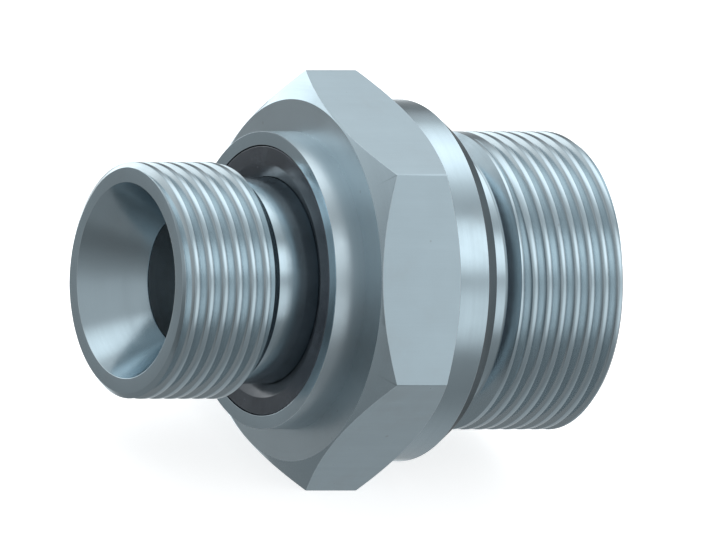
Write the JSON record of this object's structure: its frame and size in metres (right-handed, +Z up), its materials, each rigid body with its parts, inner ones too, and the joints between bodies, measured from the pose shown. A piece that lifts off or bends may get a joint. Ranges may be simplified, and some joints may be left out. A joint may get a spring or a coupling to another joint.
{
  "type": "threaded adapter",
  "caption": "Hexagon steel adapter joining a small and a large pipe thread, with cone seats, a through bore and captive seal rings.",
  "frame": {"origin": "on the plane of the hexagon flat that the adapter rests on, under the middle of its overall length", "axes": "+X along the adapter's axis from its small end to its large end, +Z up from the flat that it rests on"},
  "size_m": [0.055, 0.0468, 0.0406],
  "materials": {
    "zinc_plated_steel": "turned steel with bright zinc plating, cool blue-grey, satin to semi-gloss",
    "black_rubber": "moulded black nitrile rubber, matt"
  },
  "bodies": {
    "root": {"adapter_body": "zinc_plated_steel", "small_end_seal": "black_rubber", "large_end_seal": "black_rubber"}
  },
  "joints": []
}
